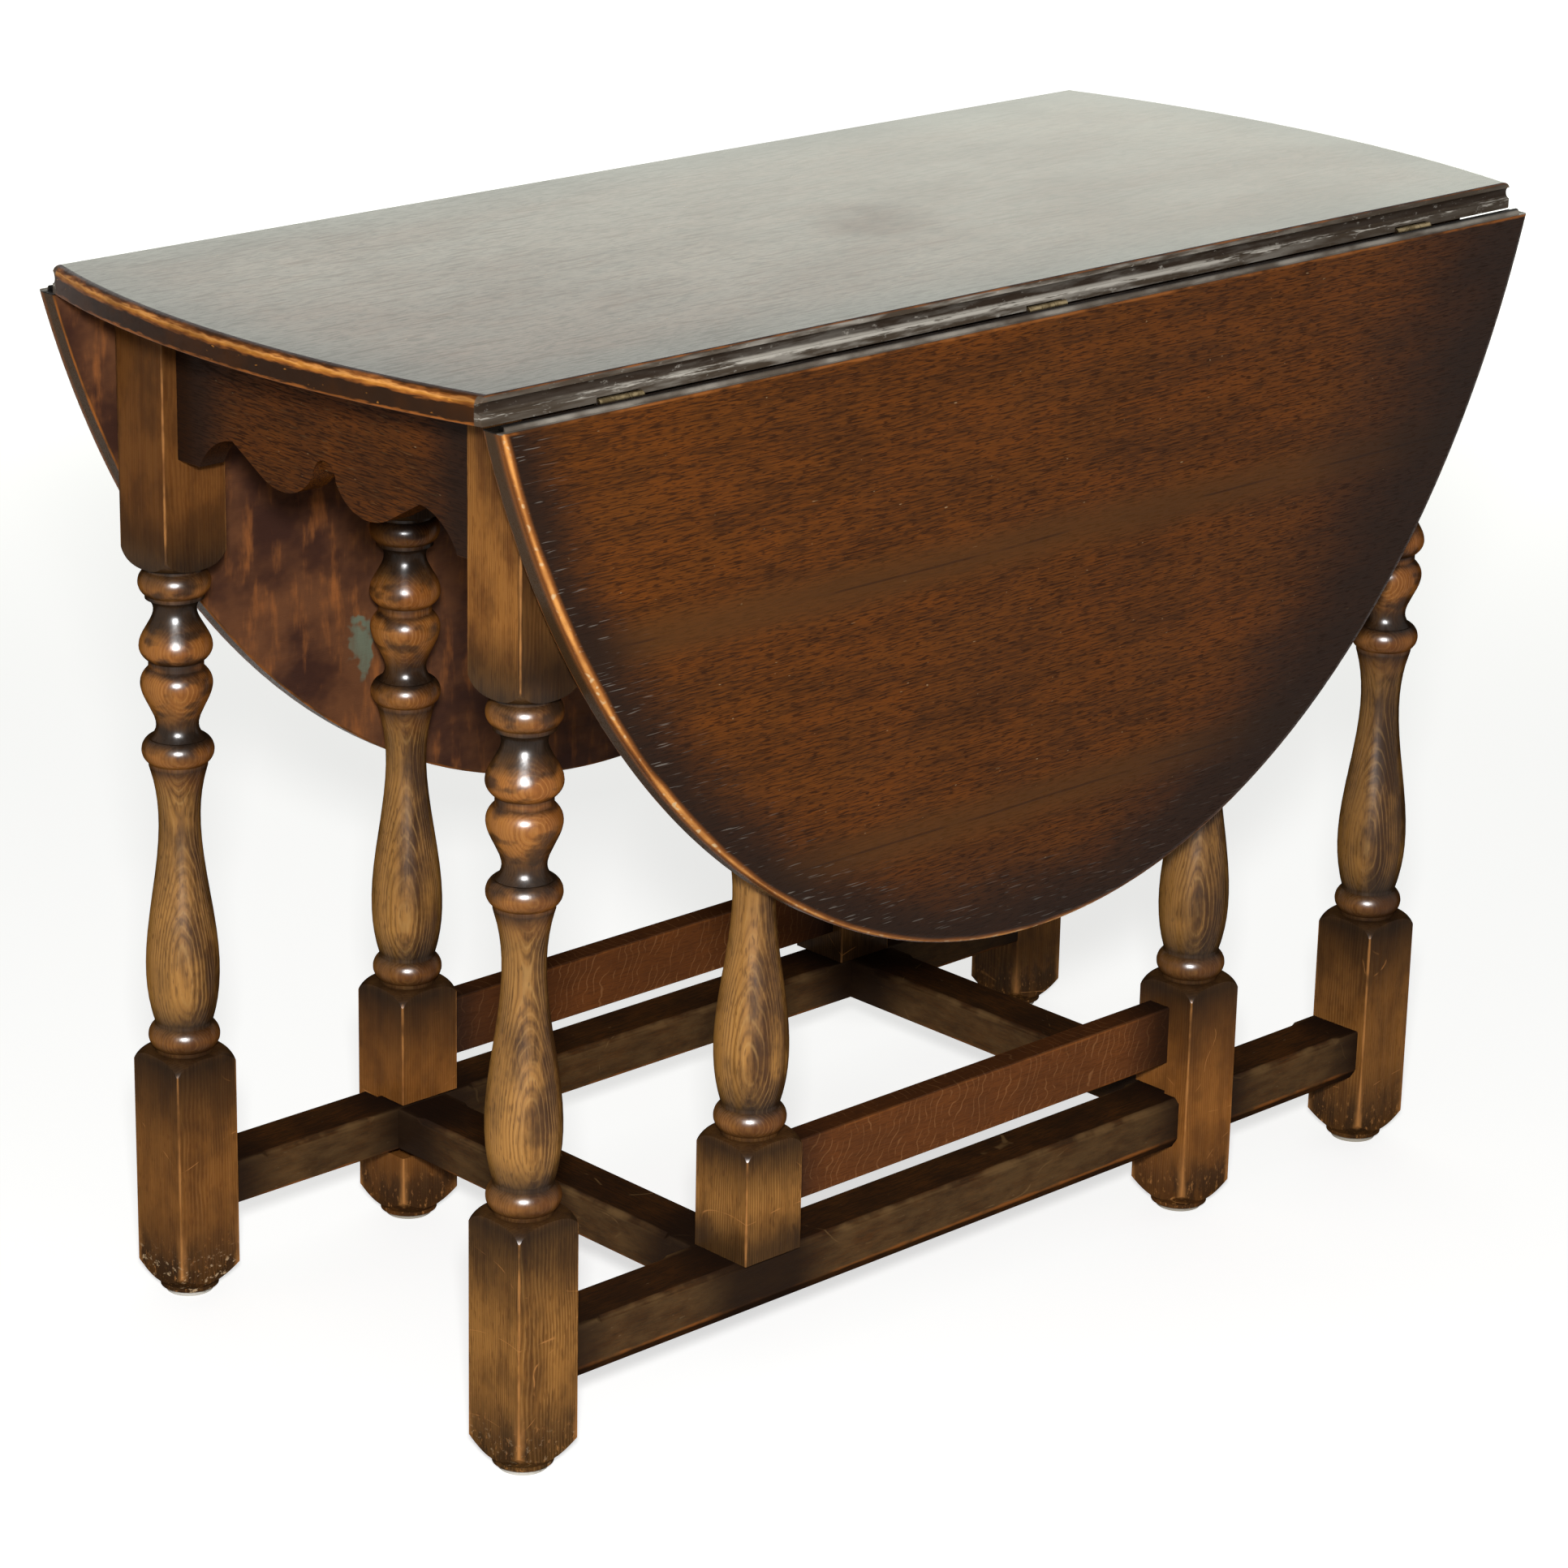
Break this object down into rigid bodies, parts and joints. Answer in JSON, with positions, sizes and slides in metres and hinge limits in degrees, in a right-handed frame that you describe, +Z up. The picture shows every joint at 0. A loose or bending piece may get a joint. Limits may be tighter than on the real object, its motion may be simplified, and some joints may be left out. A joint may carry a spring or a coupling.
{
  "type": "oval gateleg table",
  "caption": "Oval drop-leaf table with turned legs, half-oval leaves on backflap hinges, pivoted gates lapped over the stretchers, and shaped end aprons.",
  "frame": {"origin": "point on the floor under the middle of the table", "axes": "+X along the fixed top, +Y across it from the near leaf to the far leaf, +Z up"},
  "size_m": [1.028, 0.4744, 0.74],
  "materials": {
    "oak": "dark stained oak under satin lacquer, worn to honey on the arrises",
    "turned_wood": "stained and lacquered turned hardwood, darker in the coves",
    "hinge_brass": "dull tarnished brass",
    "screw_steel": "plain steel, slightly tarnished",
    "glide": "off-white nylon, scuffed"
  },
  "bodies": {
    "table_frame": {"top_centre": "oak", "near_left_leg": "turned_wood", "near_right_leg": "turned_wood", "far_left_leg": "turned_wood", "far_right_leg": "turned_wood", "left_apron": "oak", "right_apron": "oak", "near_side_rail": "oak", "far_side_rail": "oak", "near_stretcher": "oak", "far_stretcher": "oak", "left_cross_stretcher": "oak", "right_cross_stretcher": "oak", "leg_glides": "glide", "top_screws": "screw_steel", "near_hinge_top_plates": "hinge_brass", "near_hinge_pins": "screw_steel", "near_hinge_top_screws": "screw_steel", "far_hinge_top_plates": "hinge_brass", "far_hinge_pins": "screw_steel", "far_hinge_top_screws": "screw_steel"},
    "near_drop_leaf": {"near_leaf": "oak", "near_hinge_leaf_plates": "hinge_brass", "near_hinge_leaf_screws": "screw_steel"},
    "near_gate": {"near_pivot_post": "turned_wood", "near_pivot_pegs": "turned_wood", "near_gate_leg": "turned_wood", "near_gate_lower_rail": "oak", "near_gate_upper_rail": "oak", "near_gate_glide": "glide"},
    "far_drop_leaf": {"far_leaf": "oak", "far_hinge_leaf_plates": "hinge_brass", "far_hinge_leaf_screws": "screw_steel"},
    "far_gate": {"far_pivot_post": "turned_wood", "far_pivot_pegs": "turned_wood", "far_gate_leg": "turned_wood", "far_gate_lower_rail": "oak", "far_gate_upper_rail": "oak", "far_gate_glide": "glide"}
  },
  "joints": [
    {"name": "near_leaf_hinge", "type": "hinge", "parent": "table_frame", "child": "near_drop_leaf", "pos_m": [0, -0.2179, 0.7207], "axis": [-1, 0, 0], "range_deg": [0, 90]},
    {"name": "near_gate_pivot", "type": "hinge", "parent": "table_frame", "child": "near_gate", "pos_m": [-0.2195, -0.181, 0.3665], "axis": [0, 0, -1], "range_deg": [0, 1.2]},
    {"name": "far_leaf_hinge", "type": "hinge", "parent": "table_frame", "child": "far_drop_leaf", "pos_m": [0, 0.2179, 0.7207], "axis": [1, 0, 0], "range_deg": [0, 90]},
    {"name": "far_gate_pivot", "type": "hinge", "parent": "table_frame", "child": "far_gate", "pos_m": [0.2195, 0.181, 0.3665], "axis": [0, 0, -1], "range_deg": [0, 1.2]}
  ]
}
